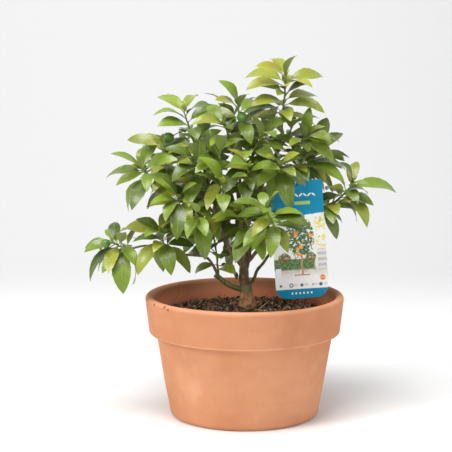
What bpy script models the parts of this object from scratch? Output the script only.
"""Potted kumquat tree: a clay pot, its soil, the wood of the tree, its leafy shoots, green fruits and a tag.

Metres, +Z up. The origin is the middle of the pot's flat underside, and -Y is the front.
Each shoot is one closed body: a four-sided twig with its leaves extruded from its side faces.
"""

import math

import bmesh
import bpy
import numpy as np
from mathutils import Matrix, Vector
from mathutils.bvhtree import BVHTree

GAP = 0.0003  # clearance between pieces that touch

# Pot
POT_HEIGHT = 0.171
RIM_RADIUS = 0.140
LIP_ROUND = 0.0055
COLLAR_BOTTOM_RADIUS = 0.1348
COLLAR_BOTTOM = 0.1175
COLLAR_ROUND = 0.0033
BODY_TOP_RADIUS = 0.1240
BODY_TOP = 0.1120
FOOT_RADIUS = 0.1045
FOOT_ROUND = 0.0070
WALL = 0.0105
FLOOR = 0.0100
DRAIN_RADIUS = 0.0120
TURNS = 44  # straight sides that a full turn is made of

# Soil
SOIL_EDGE = 0.1410
SOIL_CROWN = 0.1480
TRUNK_HOLE = 0.0128
TRUNK_HOLE_BOTTOM = 0.0950

# Tag, hung by a string from the upper right limb
TAG_WIDTH = 0.073
TAG_HEIGHT = 0.164
TAG_THICKNESS = 0.0006
TAG_HOLE_RADIUS = 0.0028
TAG_HOLE_DROP = 0.0045  # from the top edge down to the middle of the hole
TAG_HOLE = Vector((0.0695, -0.0320, 0.3300))
TAG_TILT = math.radians(4.0)
TAG_TOP_ROUND = 0.0030
TAG_BOTTOM_ROUND = 0.0170
STRING_RADIUS = 0.0007
STRING_ROUTE = (
    (0.0572, -0.0290, 0.3655), (0.0585, -0.0318, 0.3590), (0.0612, -0.0337, 0.3520),
    (0.0642, -0.0347, 0.3450), (0.0668, -0.0350, 0.3390), (0.0685, -0.0350, 0.3350),
    (0.0691, -0.03485, 0.3326), (0.0694, -0.03405, 0.3306), (0.0695, -0.0320, 0.3298),
    (0.0695, -0.02995, 0.3306), (0.0694, -0.02915, 0.3326), (0.0690, -0.0290, 0.3355),
    (0.0685, -0.0290, 0.3385),
)

# Leaves
LEAF_WIDTH = 0.40  # of its length
LEAF_HALF_THICKNESS = 0.0005
LEAF_FOLD = 0.15  # rise of the blade's edge above the midrib, for each unit of width
LEAF_ARCH = 0.14  # rise of the midrib's middle above its ends, of the leaf's length
LEAF_STATIONS = (0.13, 0.45, 0.78)  # of the length: end of the stalk, widest place, shoulder
LEAF_WIDTHS = (0.10, 1.00, 0.74)  # half widths there, of the widest
FRONT_LIGHT = 0.62  # lean of the front leaves' upper faces towards -Y, for each unit up
BACK_LIGHT = 0.40  # and of the back leaves' towards +Y
BACK_STARTS = 0.045
GOLDEN_TURN = 137.5
DENSE_SHOOT = 12  # a shoot with this many leaves listed grows no others
FILL_LEAVES = 8  # smaller leaves that other shoots also grow, further down
FILL_LEAF = 46  # millimetres
HIGH_FRUIT = 0.35  # a fruit hung above this height has no leaf before it,
OPEN_BEFORE_FRUIT = (0.003, -0.080, 0.006)  # for this far
LEAFY_LENGTH = 0.085  # of a shoot, from its tip down
TWIG_RADIUS = (0.0015, 0.0009)  # at a shoot's base and at its tip
CLEAR = 0.0022  # kept between a leaf and the wood of other shoots

# The wood. Each limb: the limb it grows from, the point of that limb's route where it starts,
# its radii there and at its end, and the rest of its route.
TRUNK_ROUTE = (
    (0.0050, 0.000, 0.104),
    (0.0050, 0.000, 0.130),
    (0.0050, 0.000, 0.152),
    (0.0040, 0.000, 0.165),
    (0.0025, 0.000, 0.175),
    (0.0000, 0.000, 0.190),
    (-0.0010, 0.000, 0.210),
    (-0.0030, 0.000, 0.233),
    (-0.0035, 0.000, 0.247),
)
TRUNK_RADII = (0.0095, 0.0110, 0.0120, 0.0108, 0.0084, 0.0070, 0.0062, 0.0052, 0.0046)
LIMBS = {
    "pruned_stub": ("trunk", 4, 0.0036, 0.0034, (
        (-0.020, -0.008, 0.184), (-0.036, -0.010, 0.196), (-0.041, -0.011, 0.200))),
    "limb_left_low": ("pruned_stub", 2, 0.0020, 0.0014, (
        (-0.045, -0.013, 0.215), (-0.057, -0.018, 0.227), (-0.088, -0.030, 0.232),
        (-0.111, -0.040, 0.243), (-0.138, -0.032, 0.244), (-0.160, -0.028, 0.239))),
    "limb_left": ("trunk", 6, 0.0037, 0.0018, (
        (-0.016, -0.004, 0.227), (-0.0245, -0.008, 0.240), (-0.029, -0.010, 0.253),
        (-0.034, -0.012, 0.268), (-0.046, -0.008, 0.315), (-0.062, 0.000, 0.362))),
    "limb_left_middle": ("limb_left", 4, 0.0021, 0.0015, (
        (-0.053, -0.020, 0.290), (-0.079, -0.030, 0.303), (-0.103, -0.034, 0.322),
        (-0.123, -0.032, 0.337))),
    "limb_centre": ("trunk", 8, 0.0026, 0.0016, (
        (-0.007, 0.004, 0.290), (-0.006, 0.006, 0.340), (-0.005, 0.000, 0.383))),
    "limb_leader": ("trunk", 7, 0.0030, 0.0022, (
        (0.009, -0.003, 0.285), (0.028, -0.006, 0.335), (0.041, -0.004, 0.363),
        (0.050, -0.002, 0.387))),
    "limb_right_upper": ("limb_leader", 2, 0.0018, 0.0015, (
        (0.042, -0.016, 0.352), (0.057, -0.023, 0.366), (0.073, -0.014, 0.380))),
    "limb_front": ("trunk", 6, 0.0030, 0.0017, (
        (0.014, -0.008, 0.229), (0.022, -0.024, 0.241), (0.030, -0.050, 0.256),
        (0.043, -0.086, 0.272))),
    "limb_right_low": ("trunk", 4, 0.0024, 0.0015, (
        (0.0135, 0.000, 0.193), (0.018, 0.002, 0.204), (0.027, 0.004, 0.2146),
        (0.034, 0.007, 0.2245), (0.060, 0.015, 0.260), (0.098, 0.020, 0.285),
        (0.130, 0.020, 0.300))),
    "limb_back_left": ("trunk", 7, 0.0028, 0.0016, (
        (-0.018, 0.022, 0.262), (-0.045, 0.062, 0.298), (-0.078, 0.105, 0.322))),
    "limb_back_right": ("trunk", 6, 0.0030, 0.0016, (
        (0.014, 0.030, 0.258), (0.046, 0.070, 0.300), (0.078, 0.105, 0.330))),
    "limb_back": ("limb_centre", 1, 0.0020, 0.0014, (
        (-0.012, 0.040, 0.330), (-0.014, 0.080, 0.368))),
    "limb_back_low": ("trunk", 5, 0.0026, 0.0015, (
        (0.006, 0.030, 0.212), (0.012, 0.064, 0.236), (0.018, 0.096, 0.250))),
}

# The shoots. Each one: the limb it grows from, the point of that limb's route where it starts,
# its tip, and its leaves from the tip down, each as the compass turn of its tip in degrees
# from +X, its rise above the level in degrees, and its length in millimetres. A shoot whose
# leaves aren't listed has (how many, first turn) and grows them round the golden turn.
SHOOTS = {
    "shoot_top": ("limb_leader", 4, (0.057, 0.000, 0.476), (
        (-62, 46, 42), (122, 35, 48), (-144, 20, 56), (32, 5, 64), (156, 8, 64),
        (-50, -2, 54), (-152, -2, 62), (75, 20, 50), (-100, 10, 46), (146, 10, 60), (-105, 28, 48),
        (-60, 21, 50), (34, 3, 60), (-143, 0, 58), (-28, -5, 62), (95, 5, 52), (-80, -12, 46),
        (175, -14, 50), (10, -16, 50))),
    "shoot_centre_top": ("limb_centre", 3, (-0.009, -0.010, 0.434), (
        (-143, 50, 50), (-72, 37, 50), (-131, 18, 52), (62, 14, 55), (-28, 4, 60),
        (165, 2, 50), (-65, -12, 52), (100, -25, 50), (20, -22, 50), (-10, 40, 46),
        (-150, -30, 46), (60, -30, 48))),
    "shoot_left_top": ("limb_left", 6, (-0.084, 0.000, 0.427), (
        (69, 26, 52), (125, 22, 58), (-46, 19, 52), (-143, 10, 56), (30, 12, 55),
        (-136, -9, 58), (-75, -12, 45), (100, -2, 55), (-158, -10, 60), (-40, -22, 45),
        (60, -20, 50), (10, 34, 44))),
    "shoot_left_outer": ("limb_left_middle", 4, (-0.142, -0.030, 0.350), (
        (91, 48, 38), (52, 40, 55), (-143, 26, 58), (-31, 20, 58), (168, -8, 58),
        (-150, -20, 48), (-86, -32, 42), (-42, -22, 56), (130, 8, 52), (-128, -48, 58),
        (150, -52, 66), (15, -8, 48))),
    "shoot_left_low": ("limb_left_low", 6, (-0.183, -0.020, 0.247), (
        (101, 26, 38), (174, -10, 42), (-55, 36, 40), (-168, -54, 64), (-125, 16, 42),
        (60, 5, 44), (-110, -42, 50), (-40, -30, 45), (110, -52, 56), (-88, -62, 68),
        (70, -66, 62))),
    "shoot_low_middle": ("limb_left_low", 4, (-0.114, -0.042, 0.262), (
        (155, 6, 58), (-42, 37, 52), (80, 38, 48), (-117, 10, 48), (20, 4, 48),
        (-150, -48, 60), (-72, -44, 56), (118, -58, 60), (25, -48, 56))),
    "shoot_twig_left": ("limb_left_middle", 3, (-0.112, -0.031, 0.385), (
        (178, 6, 50), (40, 18, 42), (-60, -8, 40))),
    "shoot_left_inner": ("limb_left", 5, (-0.070, -0.042, 0.370), (
        (-101, 26, 48), (140, 16, 52), (-130, -9, 55), (30, 20, 50), (-112, -40, 62),
        (75, -10, 50), (-40, -30, 52))),
    "shoot_hanging": ("limb_left_middle", 2, (-0.092, -0.058, 0.312), (
        (150, 20, 46), (-150, -5, 44), (-94, -52, 62), (35, 10, 50), (160, -52, 44),
        (-40, -46, 60), (-15, -10, 48))),
    "shoot_centre_left": ("limb_centre", 2, (-0.028, -0.026, 0.414), (
        (126, 26, 46), (-147, 8, 54), (60, 26, 46), (-120, -10, 50), (-20, 10, 48),
        (170, -20, 50), (-75, -28, 52))),
    "shoot_centre": ("limb_left", 4, (-0.034, -0.054, 0.376), (
        (56, 44, 52), (-90, 42, 46), (124, 18, 50), (-135, -8, 48), (-40, 5, 50),
        (20, -16, 52), (-100, -34, 56), (170, -30, 54))),
    "shoot_right_top": ("limb_leader", 3, (0.068, 0.012, 0.408), (
        (30, 12, 46), (124, 34, 42), (-10, -4, 50), (70, 2, 50), (160, -6, 46),
        (20, -30, 48))),
    "shoot_right_upper": ("limb_right_upper", 3, (0.086, -0.012, 0.393), (
        (60, 30, 40), (-51, 0, 50), (10, -4, 50), (-120, -8, 44), (-38, -26, 58),
        (95, -10, 48), (150, 5, 44))),
    "shoot_right": ("limb_right_upper", 1, (0.088, -0.006, 0.356), (
        (-10, 6, 50), (55, 6, 48), (-28, -20, 66), (120, 12, 44), (-75, -22, 44),
        (30, -34, 54), (-115, 0, 44))),
    "shoot_far_right": ("limb_right_low", 7, (0.151, 0.020, 0.322), (
        (-128, 52, 46), (65, 50, 45), (26, -7, 80), (-75, -16, 44), (120, 0, 50),
        (-52, -38, 64), (-150, -10, 45), (30, -20, 52))),
    "shoot_right_low": ("limb_right_low", 6, (0.124, -0.006, 0.298), (
        (-20, 5, 44), (-81, -6, 44), (100, 8, 44), (-114, -35, 42), (30, -26, 46))),
    "shoot_front": ("limb_front", 4, (0.028, -0.124, 0.303), (
        (106, 35, 40), (-60, 47, 42), (-100, 12, 42), (-163, 22, 52), (150, -6, 50), (-20, 10, 46),
        (-27, -6, 58), (-127, -20, 45), (55, 10, 46), (-149, -32, 54), (-95, -42, 56),
        (-60, -40, 48), (-40, -16, 48), (160, -45, 48))),
    "shoot_over_tag": ("limb_right_upper", 1, (0.047, -0.050, 0.352), (
        (-115, 25, 48), (160, 10, 50), (-60, -8, 44), (-83, -49, 66), (-150, -36, 56),
        (55, 20, 44))),
    "shoot_front_left": ("limb_left", 4, (-0.030, -0.078, 0.330), (8, 200)),
    "shoot_front_high": ("limb_centre", 1, (0.004, -0.060, 0.352), (8, 60)),
    "shoot_front_low_left": ("limb_left_middle", 1, (-0.066, -0.072, 0.290), (8, -60)),
    "shoot_front_middle": ("limb_front", 2, (-0.004, -0.070, 0.294), (7, 250)),
    "shoot_upper_middle": ("limb_centre", 2, (0.022, -0.030, 0.392), (8, 120)),
    "shoot_stub": ("pruned_stub", 2, (-0.044, 0.012, 0.262), (7, 150)),
    "shoot_left_rear": ("limb_left", 5, (-0.098, 0.044, 0.362), (8, 100)),
    "shoot_right_rear": ("limb_right_low", 5, (0.084, 0.046, 0.314), (8, -30)),
    "shoot_back_left_end": ("limb_back_left", 3, (-0.108, 0.112, 0.344), (9, 10)),
    "shoot_back_left_side": ("limb_back_left", 2, (-0.108, 0.078, 0.322), (8, 75)),
    "shoot_back_left_high": ("limb_back_left", 2, (-0.062, 0.088, 0.374), (8, 160)),
    "shoot_back_left_low": ("limb_back_left", 1, (-0.078, 0.054, 0.272), (7, 220)),
    "shoot_back_right_end": ("limb_back_right", 3, (0.104, 0.110, 0.356), (9, 95)),
    "shoot_back_right_side": ("limb_back_right", 2, (0.108, 0.072, 0.366), (8, 40)),
    "shoot_back_right_low": ("limb_back_right", 2, (0.088, 0.108, 0.284), (8, 0)),
    "shoot_back_top": ("limb_back", 2, (-0.018, 0.098, 0.412), (9, 45)),
    "shoot_back_middle": ("limb_back", 1, (0.034, 0.062, 0.392), (9, 300)),
    "shoot_back_low_end": ("limb_back_low", 3, (0.022, 0.118, 0.266), (9, 80)),
    "shoot_back_low_side": ("limb_back_low", 2, (-0.034, 0.096, 0.266), (8, 120)),
    "shoot_back_inner": ("limb_back_right", 1, (0.024, 0.100, 0.318), (8, 15)),
}
ROUND_SHOOT_LEAF = 57  # millimetres, a leaf of a shoot whose leaves aren't listed

# The fruits: centre, radius, and the point on a shoot that the stalk reaches for.
FRUITS = {
    "fruit_upper_left": ((-0.1060, -0.020, 0.3925), 0.0075, (-0.080, -0.003, 0.402)),
    "fruit_top": ((-0.0040, -0.024, 0.4210), 0.0072, (-0.009, -0.008, 0.429)),
    "fruit_low_left": ((-0.1910, -0.044, 0.2490), 0.0062, (-0.180, -0.024, 0.246)),
    "fruit_young": ((-0.1240, -0.048, 0.2385), 0.0042, (-0.122, -0.038, 0.244)),
}


def clear_scene():
    for item in list(bpy.data.objects):
        bpy.data.objects.remove(item, do_unlink=True)


def make_material(name, colour, roughness):
    material = bpy.data.materials.new(name)
    material.use_nodes = True
    shader = material.node_tree.nodes["Principled BSDF"]
    shader.inputs["Base Color"].default_value = (*colour, 1.0)
    shader.inputs["Roughness"].default_value = roughness
    shader.inputs["Metallic"].default_value = 0.0
    return material


def add_object(name, data, material, collection):
    item = bpy.data.objects.new(name, data)
    data.materials.append(material)
    collection.objects.link(item)
    return item


def arc(centre, radius, first, last, steps=4):
    """Points (r, z) of an arc round centre, from the first angle to the last, in degrees."""
    angles = np.radians(np.linspace(first, last, steps + 1))
    return [(centre[0] + radius * math.cos(a), centre[1] + radius * math.sin(a)) for a in angles]


def turned(name, profile, material, collection, steps=TURNS, closed=True):
    """A profile of (r, z) points, outer side first from the top down, turned round Z."""
    mesh = bpy.data.meshes.new(name)
    edges = [(i, i + 1) for i in range(len(profile) - 1)]
    if closed:
        edges.append((len(profile) - 1, 0))
    mesh.from_pydata([(r, 0.0, z) for r, z in profile], edges, [])
    item = add_object(name, mesh, material, collection)
    screw = item.modifiers.new("turn", "SCREW")
    screw.steps = steps
    screw.render_steps = steps
    screw.use_merge_vertices = True
    screw.merge_threshold = 0.00001
    screw.use_smooth_shade = True
    return item


def smooth_route(points, steps=2):
    """A Catmull-Rom curve through the points, steps to each stretch between two of them."""
    p = np.array(points, float)
    p = np.vstack([2 * p[0] - p[1], p, 2 * p[-1] - p[-2]])
    t = np.arange(steps)[:, None] / steps
    runs = []
    for a, b, c, d in zip(p[:-3], p[1:-2], p[2:-1], p[3:]):
        runs.append(0.5 * (2 * b + (c - a) * t + (2 * a - 5 * b + 4 * c - d) * t**2
                           + (3 * b - a - 3 * c + d) * t**3))
    return np.vstack([*runs, p[-2:-1]])


def unit(v):
    return np.asarray(v, float) / np.linalg.norm(v)


def tube(name, points, radii, material, collection, resolution=1):
    """A tube along the points, with a radius at each."""
    data = bpy.data.curves.new(name, "CURVE")
    data.dimensions = "3D"
    data.bevel_depth = float(max(radii))
    data.bevel_resolution = resolution
    data.use_fill_caps = True
    spline = data.splines.new("POLY")
    spline.points.add(len(points) - 1)
    for point, place, radius in zip(spline.points, points, radii):
        point.co = (*place, 1.0)
        point.radius = float(radius / max(radii))
    return add_object(name, data, material, collection)


def trimmed(points, length):
    """The points of a route from the given length on."""
    steps = np.linalg.norm(np.diff(points, axis=0), axis=1)
    along = np.concatenate([[0.0], np.cumsum(steps)])
    start = np.array([np.interp(length, along, points[:, k]) for k in range(3)])
    rest = points[along > length + 0.3 * steps.mean()]
    return np.vstack([start, rest])


def start_clearance(direction, radius, parent_direction, parent_radius, at_end):
    """How far along its direction a round stem starts, so that it clears the stem it grows from."""
    cosine = abs(float(direction @ parent_direction))
    sine = math.sqrt(max(1.0 - cosine**2, 1e-9))
    beside = (parent_radius + 1.5 * GAP + radius * cosine) / max(sine, 0.02)
    beyond = (1.5 * GAP + radius * sine) / max(cosine, 0.02)
    return min(beside, beyond) if at_end else beside


def grow_wood():
    """Every limb's route from its start inside the limb it grows from, and its radii."""
    wood = {"trunk": (np.array(TRUNK_ROUTE), np.array(TRUNK_RADII), None)}
    for name, (parent, point, first, last, rest) in LIMBS.items():
        route, radii, _ = wood[parent]
        points = np.vstack([route[point], np.array(rest)])
        wood[name] = (points, np.linspace(first, last, len(points)), (parent, point))
    return wood


def stem_at(wood, name, point):
    """The direction and the radius of a limb at a point of its route."""
    route, radii, _ = wood[name]
    before, after = route[max(point - 1, 0)], route[min(point + 1, len(route) - 1)]
    return unit(after - before), radii[point], point == len(route) - 1


def limb_tube(wood, name):
    """The points and radii of a limb's own solid, clear of the limb it grows from."""
    points, radii, start = wood[name]
    fine = smooth_route(points)
    spread = np.interp(np.linspace(0, 1, len(fine)), np.linspace(0, 1, len(radii)), radii)
    if start is None:
        return fine, spread
    along, thick, at_end = stem_at(wood, *start)
    away = start_clearance(unit(fine[1] - fine[0]), spread[0], along, thick, at_end)
    kept = trimmed(fine, away)
    return kept, np.linspace(spread[0], spread[-1], len(kept))


def shoot_axis(wood, name, count=9):
    """Points along a shoot from inside its limb to its tip, sagging a little at the middle."""
    limb, point, tip, _ = SHOOTS[name]
    base, end = wood[limb][0][point], np.array(tip)
    middle = (base + end) / 2 - np.array([0.0, 0.0, 0.06]) * np.linalg.norm(end - base)
    f = np.linspace(0, 1, count)[:, None]
    return (1 - f) ** 2 * base + 2 * f * (1 - f) * middle + f**2 * end


def at(points, share):
    """The place at a share of the way along evenly spread points."""
    places = np.linspace(0, 1, len(points))
    return np.array([np.interp(share, places, points[:, k]) for k in range(3)])


def leafy_from(axis):
    """The share of the way along a shoot from which it has leaves."""
    return 1 - min(0.84, LEAFY_LENGTH / np.linalg.norm(axis[-1] - axis[0]))


def round_leaves(axis, count, first, size, leans, low, top):
    """Leaves that follow the golden turn round a shoot, from the share top down to low."""
    along = unit(axis[-1] - axis[-2])
    side = unit(np.cross(along, (0.31, 0.95, 0.05)))
    other = np.cross(along, side)
    wished = []
    for i in range(count):
        share = top - (top - low) * (i / (count - 1)) ** 1.1
        turn = math.radians(first + GOLDEN_TURN * i)
        lean = math.radians(leans[0] + (leans[1] - leans[0]) * i / (count - 1))
        around = math.cos(turn) * side + math.sin(turn) * other
        heading = math.cos(lean) * along + math.sin(lean) * around - np.array([0, 0, 0.22])
        varied = 0.86 + 0.26 * ((i * 0.618 + first * 0.01) % 1)
        wished.append((share, unit(heading), size / 1000 * varied))
    return wished


def wished_leaves(name, axis):
    """A shoot's leaves as (share of the way along, direction, length), from the tip down."""
    leaves = SHOOTS[name][3]
    low = 1 - min(0.75, 0.052 / np.linalg.norm(axis[-1] - axis[0]))
    fill = []
    if len(leaves) < DENSE_SHOOT:
        fill = round_leaves(axis, FILL_LEAVES, 75 + 17 * len(name), FILL_LEAF, (48, 92), leafy_from(axis), 0.93)
    if not isinstance(leaves[0], tuple):
        return round_leaves(axis, *leaves, ROUND_SHOOT_LEAF, (34, 96), low, 1.0) + fill
    wished = []
    for i, (turn, rise, length) in enumerate(leaves):
        share = 1 - (1 - low) * (i / max(len(leaves) - 1, 1)) ** 1.25
        turn, rise = math.radians(turn), math.radians(rise)
        level = math.cos(rise)
        heading = (level * math.cos(turn), level * math.sin(turn), math.sin(rise))
        wished.append((share, np.array(heading), length / 1000))
    return wished + fill


def leaf_frame(base, heading, lean):
    """The leaf's own axes: along the leaf, to its right side, and out of its upper face.

    The upper face looks up, a little inward on a rising leaf and outward on a hanging one,
    and leans to the light in front of the tree or, at its back, behind it.
    """
    level = np.array([heading[0], heading[1], 0.0])
    light = -FRONT_LIGHT if base[1] < BACK_STARTS else BACK_LIGHT
    upper = np.array([0.0, light, 1.0]) - 0.5 * heading[2] * level
    upper = unit(upper - (upper @ heading) * heading)
    right = np.cross(heading, upper)
    upper = math.cos(lean) * upper + math.sin(lean) * right
    return heading, np.cross(heading, upper), upper


def leaf_sections(base, heading, length, lean, extra=0.0):
    """Rings of four corners (top, right, bottom, left) along the leaf, then its tip."""
    along, right, upper = leaf_frame(base, heading, lean)
    rings = []
    for share, width in zip(LEAF_STATIONS, LEAF_WIDTHS):
        rib = base + along * length * share + upper * LEAF_ARCH * 4 * share * (1 - share) * length
        half = width * LEAF_WIDTH / 2 * length + extra
        thick = LEAF_HALF_THICKNESS + extra
        edge = upper * LEAF_FOLD * half
        rings.append(np.array([rib + upper * thick, rib + right * half + edge,
                               rib - upper * thick, rib - right * half + edge]))
    return rings, base + along * length


def ring_tree(rings, tip):
    """A search tree of the closed surface through the rings, ending in the tip."""
    points = [tuple(p) for ring in rings for p in ring] + [tuple(tip)]
    faces = [(0, 3, 2, 1)]
    for k in range(len(rings) - 1):
        for j in range(4):
            a, b = 4 * k + j, 4 * k + (j + 1) % 4
            faces.append((a, b, b + 4, a + 4))
    last = 4 * (len(rings) - 1)
    faces.extend((last + j, last + (j + 1) % 4, len(points) - 1) for j in range(4))
    return BVHTree.FromPolygons(points, faces)


def leaf_samples(rings, tip):
    """Points spread over a leaf's blade, for its distance to the wood."""
    lines = [np.array([r[3], (r[3] + r[0]) / 2, r[0], (r[0] + r[1]) / 2, r[1]]) for r in rings]
    lines.append(np.repeat(tip[None], 5, axis=0))
    shares = np.linspace(0, 1, 6)[:, None, None]
    return np.vstack([(a * (1 - shares) + b * shares).reshape(-1, 3)
                      for a, b in zip(lines[:-1], lines[1:])])


def nearest_gap(samples, starts, ends, radii):
    """The least distance from the samples to the surfaces of round-ended stretches."""
    run = ends - starts
    reach = samples[:, None] - starts[None]
    share = np.clip((reach * run).sum(2) / np.maximum((run**2).sum(1), 1e-12), 0, 1)
    away = np.linalg.norm(reach - share[..., None] * run, axis=2) - radii
    return float(away.min())


def clear_of_pot(samples):
    """Whether every sample is over the rim or well outside it."""
    out = np.hypot(samples[:, 0], samples[:, 1])
    over_rim = samples[:, 2] > POT_HEIGHT + 0.004
    outside = out > RIM_RADIUS + 0.005
    return bool((over_rim | outside).all())


def tag_corners(margin):
    """The eight corners of a block round the tag."""
    across = Vector((math.cos(TAG_TILT), 0.0, math.sin(TAG_TILT)))
    up = Vector((-math.sin(TAG_TILT), 0.0, math.cos(TAG_TILT)))
    corners = []
    for depth in (-margin, margin):
        for x, y in ((-1, 0), (1, 0), (1, 1), (-1, 1)):
            place = TAG_HOLE + across * x * (TAG_WIDTH / 2 + margin) + Vector((0, depth, 0))
            drop = TAG_HOLE_DROP + margin - y * (TAG_HEIGHT + 2 * margin)
            corners.append(place + up * drop)
    return corners


def place_leaves(wood):
    """Every shoot's leaves, each turned, raised or shortened until it clears what is there.

    A leaf that finds no room is left off, as it would be shaded out.
    """
    axes = {name: shoot_axis(wood, name) for name in SHOOTS}
    starts, ends, radii, owners = [], [], [], []
    for name in wood:
        points, spread = limb_tube(wood, name)
        starts.extend(points[:-1])
        ends.extend(points[1:])
        radii.extend(np.maximum(spread[:-1], spread[1:]))
        owners.extend([name] * (len(points) - 1))
    for name, axis in axes.items():
        starts.extend(axis[:-1])
        ends.extend(axis[1:])
        radii.extend([TWIG_RADIUS[0]] * (len(axis) - 1))
        owners.extend([name] * (len(axis) - 1))
    for name, (centre, radius, stalk) in FRUITS.items():
        front = np.array(centre) + np.array(OPEN_BEFORE_FRUIT) * (centre[2] > HIGH_FRUIT)
        starts.extend([np.array(centre), np.array(centre)])
        ends.extend([front, np.array(stalk)])
        radii.extend([radius * 1.15, 0.001])
        owners.extend([name] * 2)
    string = smooth_route(STRING_ROUTE)
    starts.extend(string[:-1])
    ends.extend(string[1:])
    radii.extend([STRING_RADIUS] * (len(string) - 1))
    owners.extend(["tag_string"] * (len(string) - 1))
    starts, ends, radii, owners = map(np.array, (starts, ends, radii, owners))
    block = tag_corners(0.0012)
    sides = [(0, 1, 2, 3), (7, 6, 5, 4), (0, 4, 5, 1), (1, 5, 6, 2), (2, 6, 7, 3), (3, 7, 4, 0)]
    block_tree = BVHTree.FromPolygons(block, sides)
    tries = [(0, 0, 1.0), (13, 0, 1.0), (-13, 0, 1.0), (0, 12, 1.0), (0, -12, 1.0),
             (24, 8, 0.96), (-24, 8, 0.96), (22, -10, 0.94), (-22, -10, 0.94),
             (0, 24, 0.92), (0, -24, 0.92), (38, 4, 0.88), (-38, 4, 0.88),
             (30, 20, 0.82), (-30, 20, 0.82), (30, -22, 0.82), (-30, -22, 0.82)]
    placed, kept = [], {}
    for name, axis in axes.items():
        kept[name] = []
        others = owners != name
        limb = SHOOTS[name][0]
        for i, (share, heading, length) in enumerate(wished_leaves(name, axis)):
            base = at(axis, share)
            lean = math.radians(26 * ((i * 0.618) % 1) - 13)
            for turn, rise, scale in tries:
                spun = Matrix.Rotation(math.radians(turn), 3, "Z") @ Vector(heading)
                level = Vector((spun.y, -spun.x, 0.0))
                if level.length > 0.05:
                    spun = Matrix.Rotation(math.radians(rise), 3, level) @ spun
                leaf = (base, unit(spun), length * scale, lean)
                rings, tip = leaf_sections(*leaf, extra=0.0004)
                samples = leaf_samples(rings, tip)
                if not clear_of_pot(samples):
                    continue
                if nearest_gap(samples, starts[others], ends[others], radii[others]) < CLEAR:
                    continue
                blade = ring_tree(rings, tip)
                foot = base + unit(spun) * 0.0025
                neck = np.array([foot + 0.6 * (corner - rings[0].mean(0)) for corner in rings[0]])
                whole = ring_tree([neck, *rings], tip)
                low, high = samples.min(0) - 0.008, samples.max(0) + 0.008
                if whole.overlap(block_tree):
                    continue
                if any(meets(name, blade, whole, low, high, one) for one in placed):
                    continue
                placed.append((name, blade, whole, low, high))
                kept[name].append((share, *leaf))
                break
    return axes, kept


def meets(name, blade, whole, low, high, one):
    """Whether a leaf meets one that is already there; two of one shoot may touch at their stalks."""
    other, other_blade, other_whole, other_low, other_high = one
    if (low > other_high).any() or (high < other_low).any():
        return False
    if name == other:
        return bool(blade.overlap(other_blade))
    return bool(whole.overlap(other_whole))


def extrude_through(bm, face, rings, tip):
    """Draws a face out through the rings, each matched to the corners before it, into a point."""
    for ring in rings:
        face = bmesh.ops.extrude_discrete_faces(bm, faces=[face])["faces"][0]
        corners = list(face.verts)
        here = np.array([v.co for v in corners])
        here = here - here.mean(0)
        goal = ring - ring.mean(0)
        shift = min(range(4), key=lambda s: np.abs(here - np.roll(goal, s, axis=0)).sum())
        for vert, place in zip(corners, np.roll(ring, shift, axis=0)):
            vert.co = place
    face = bmesh.ops.extrude_discrete_faces(bm, faces=[face])["faces"][0]
    bmesh.ops.pointmerge(bm, verts=list(face.verts), merge_co=tip)


def twig_shares(wood, name, axis, leaf_count):
    """The shares of the way along at which the twig's rings stand, past its limb's surface."""
    limb, point, _, _ = SHOOTS[name]
    along, thick, at_end = stem_at(wood, limb, point)
    length = np.linalg.norm(np.diff(axis, axis=0), axis=1).sum()
    away = start_clearance(unit(axis[1] - axis[0]), TWIG_RADIUS[0], along, thick, at_end)
    first = away / length
    leafy = np.linspace(max(leafy_from(axis) - 0.05, first + 0.08), 1.0, math.ceil(leaf_count / 2) + 1)
    return np.concatenate([[first, (first + leafy[0]) / 2], leafy])


def shoot_mesh(wood, name, axis, leaves):
    """A four-sided twig made as a straight prism, laid along the axis, then given its leaves."""
    shares = twig_shares(wood, name, axis, len(leaves))
    bm = bmesh.new()
    bmesh.ops.create_cone(bm, cap_ends=True, segments=4, radius1=1.0, radius2=1.0, depth=1.0,
                          matrix=Matrix.Translation((0.0, 0.0, 0.5)))
    top = max(bm.faces, key=lambda f: f.calc_center_median().z)
    for _ in range(len(shares) - 2):
        top = bmesh.ops.extrude_discrete_faces(bm, faces=[top])["faces"][0]
        bmesh.ops.translate(bm, verts=list(top.verts), vec=(0.0, 0.0, 1.0))
    bm.normal_update()
    sides = [(int(f.calc_center_median().z), f) for f in bm.faces if abs(f.normal.z) < 0.5]
    for vert in bm.verts:
        k = round(vert.co.z)
        step = unit(at(axis, min(shares[k] + 0.02, 1.0)) - at(axis, shares[k] - 0.02))
        first = unit(np.cross(step, (0.2, 1.0, 0.1)))
        second = np.cross(step, first)
        radius = np.interp(shares[k], (0, 1), TWIG_RADIUS)
        vert.co = at(axis, shares[k]) + radius * (vert.co.x * first + vert.co.y * second)
    bm.normal_update()
    for share, base, heading, length, lean in leaves:
        wanted = float(np.interp(share, shares, range(len(shares))))
        best = max(sides, key=lambda s: s[1].normal @ Vector(heading)
                   - 0.45 * abs(s[0] + 0.5 - wanted) - 9.0 * (s[0] < 1))
        sides.remove(best)
        rings, tip = leaf_sections(base, heading, length, lean)
        extrude_through(bm, best[1], rings, tip)
    bmesh.ops.recalc_face_normals(bm, faces=list(bm.faces))
    mesh = bpy.data.meshes.new(name)
    bm.to_mesh(mesh)
    bm.free()
    mesh.shade_smooth()
    mesh.set_sharp_from_angle(angle=math.radians(50))
    return mesh


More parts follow.
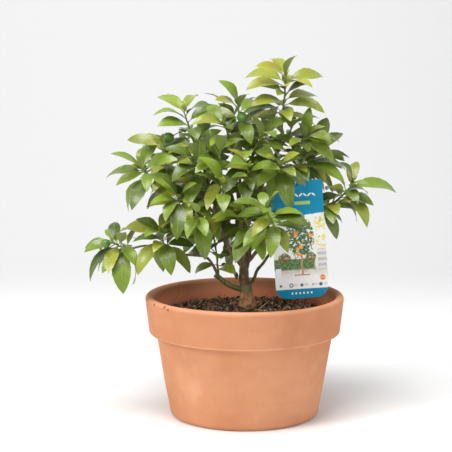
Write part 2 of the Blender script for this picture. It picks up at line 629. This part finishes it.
def pot_profile():
    """The pot's whole section as a closed loop of (r, z), so that the drain hole stays open."""
    body_slope = (BODY_TOP_RADIUS - FOOT_RADIUS) / BODY_TOP
    inner_foot = FOOT_RADIUS - WALL
    inner_shoulder = BODY_TOP_RADIUS - WALL + 0.001
    collar_inner = COLLAR_BOTTOM_RADIUS - WALL
    lip_inner = RIM_RADIUS - WALL - 0.001
    lip_height = POT_HEIGHT - LIP_ROUND
    return [
        *arc((RIM_RADIUS - LIP_ROUND, lip_height), LIP_ROUND, 90, 0, 4),
        *arc((COLLAR_BOTTOM_RADIUS - COLLAR_ROUND, COLLAR_BOTTOM + COLLAR_ROUND), COLLAR_ROUND, 0, -90, 2),
        (BODY_TOP_RADIUS + 0.0015, COLLAR_BOTTOM - 0.0010),
        (BODY_TOP_RADIUS, BODY_TOP),
        *arc((FOOT_RADIUS - FOOT_ROUND + body_slope * FOOT_ROUND, FOOT_ROUND), FOOT_ROUND, 0, -90, 3),
        (DRAIN_RADIUS, 0.0),
        (DRAIN_RADIUS, FLOOR),
        *arc((inner_foot - 0.008, FLOOR + 0.008), 0.008, -90, 0, 2),
        (inner_shoulder, BODY_TOP),
        (collar_inner, COLLAR_BOTTOM + 0.006),
        *arc((lip_inner + 0.005, lip_height), 0.005, 180, 90, 3),
    ]


def soil_profile():
    """The soil's section, from its crown outward and down the inside of the pot."""
    inner_foot = FOOT_RADIUS - WALL
    inner_shoulder = BODY_TOP_RADIUS - WALL + 0.001
    collar_inner = COLLAR_BOTTOM_RADIUS - WALL
    rise = (RIM_RADIUS - WALL - 0.001 - collar_inner) / (POT_HEIGHT - LIP_ROUND - COLLAR_BOTTOM - 0.006)
    edge = collar_inner + rise * (SOIL_EDGE - COLLAR_BOTTOM - 0.006) - 2 * GAP
    crown = []
    for share in np.linspace(0, 0.94, 5):
        crown.append((share * edge, SOIL_CROWN - (SOIL_CROWN - SOIL_EDGE) * share**1.6))
    return [
        *crown,
        (edge, SOIL_EDGE),
        (collar_inner - 2 * GAP, COLLAR_BOTTOM + 0.006),
        (inner_shoulder - 2 * GAP, BODY_TOP),
        *arc((inner_foot - 0.008, FLOOR + 0.008 + GAP), 0.008 - GAP, 0, -90, 2),
        (0.0, FLOOR + GAP),
    ]


def fruit_profile(radius, stalk):
    """A fruit a little longer than it is wide, its top at the stalk, hung along -Z from z = stalk."""
    points = [(0.0, stalk), (0.0008, stalk), (0.0007, radius * 1.25), (0.0015, radius * 1.16)]
    for angle in np.radians(np.linspace(62, -90, 7)):
        points.append((radius * math.cos(angle) if angle > -1.57 else 0.0, radius * 1.12 * math.sin(angle)))
    return points


def main():
    clear_scene()
    tree = bpy.data.collections.new("potted_kumquat_tree")
    cutters = bpy.data.collections.new("cutters")
    bpy.context.scene.collection.children.link(tree)
    bpy.context.scene.collection.children.link(cutters)

    turned("terracotta_pot", pot_profile(),
           make_material("terracotta", (0.62, 0.27, 0.13), 0.85), tree)

    soil = turned("potting_soil", soil_profile(),
                  make_material("soil", (0.035, 0.020, 0.012), 0.95), tree, closed=False)
    bpy.ops.mesh.primitive_cylinder_add(vertices=24, radius=TRUNK_HOLE, depth=0.1,
                                        location=(TRUNK_ROUTE[0][0], 0.0, TRUNK_HOLE_BOTTOM + 0.05))
    hole = bpy.context.object
    hole.name = "trunk_hole"
    hole.hide_render = True
    hole.display_type = "WIRE"
    for holder in list(hole.users_collection):
        holder.objects.unlink(hole)
    cutters.objects.link(hole)
    cut = soil.modifiers.new("trunk_hole", "BOOLEAN")
    cut.operation = "DIFFERENCE"
    cut.object = hole

    wood = grow_wood()
    for name in wood:
        points, radii = limb_tube(wood, name)
        bark = make_material(name + "_bark", (0.16, 0.11, 0.07), 0.85)
        tube(name, points, radii, bark, tree, resolution=3 if name == "trunk" else 1)

    axes, kept = place_leaves(wood)
    for name, axis in axes.items():
        leaf_green = make_material(name + "_green", (0.10, 0.24, 0.03), 0.40)
        add_object(name, shoot_mesh(wood, name, axis, kept[name]), leaf_green, tree)

    for name, (centre, radius, reached) in FRUITS.items():
        run = Vector(reached) - Vector(centre)
        stalk = run.length - TWIG_RADIUS[0] - 0.0035
        skin = make_material(name + "_skin", (0.07, 0.20, 0.03), 0.45)
        fruit = turned(name, fruit_profile(radius, stalk), skin, tree, steps=10, closed=False)
        fruit.location = centre
        fruit.rotation_euler = run.to_track_quat("Z", "Y").to_euler()

    string = smooth_route(STRING_ROUTE)
    tube("tag_string", string, [STRING_RADIUS] * len(string),
         make_material("string", (0.85, 0.84, 0.80), 0.9), tree, resolution=2)
    make_tag(tree)


def make_tag(collection):
    """A card with small upper and large lower corners, and a round hole near its top edge."""
    data = bpy.data.curves.new("plant_tag", "CURVE")
    data.dimensions = "2D"
    data.fill_mode = "BOTH"
    data.extrude = TAG_THICKNESS / 2
    half, top, bottom = TAG_WIDTH / 2, TAG_HOLE_DROP, TAG_HOLE_DROP - TAG_HEIGHT
    low, high = TAG_BOTTOM_ROUND, TAG_TOP_ROUND
    outline = [
        *arc((half - low, bottom + low), low, -90, 0, 6),
        *arc((half - high, top - high), high, 0, 90, 3),
        *arc((high - half, top - high), high, 90, 180, 3),
        *arc((low - half, bottom + low), low, 180, 270, 6),
    ]
    ring = arc((0.0, 0.0), TAG_HOLE_RADIUS, 0, 330, 11)
    for points in (outline, ring):
        spline = data.splines.new("POLY")
        spline.points.add(len(points) - 1)
        spline.use_cyclic_u = True
        for point, (x, y) in zip(spline.points, points):
            point.co = (x, y, 0.0, 1.0)
    card = add_object("plant_tag", data, make_material("card", (0.05, 0.35, 0.50), 0.35), collection)
    card.rotation_euler = (math.radians(90), -TAG_TILT, 0.0)
    card.location = TAG_HOLE


main()
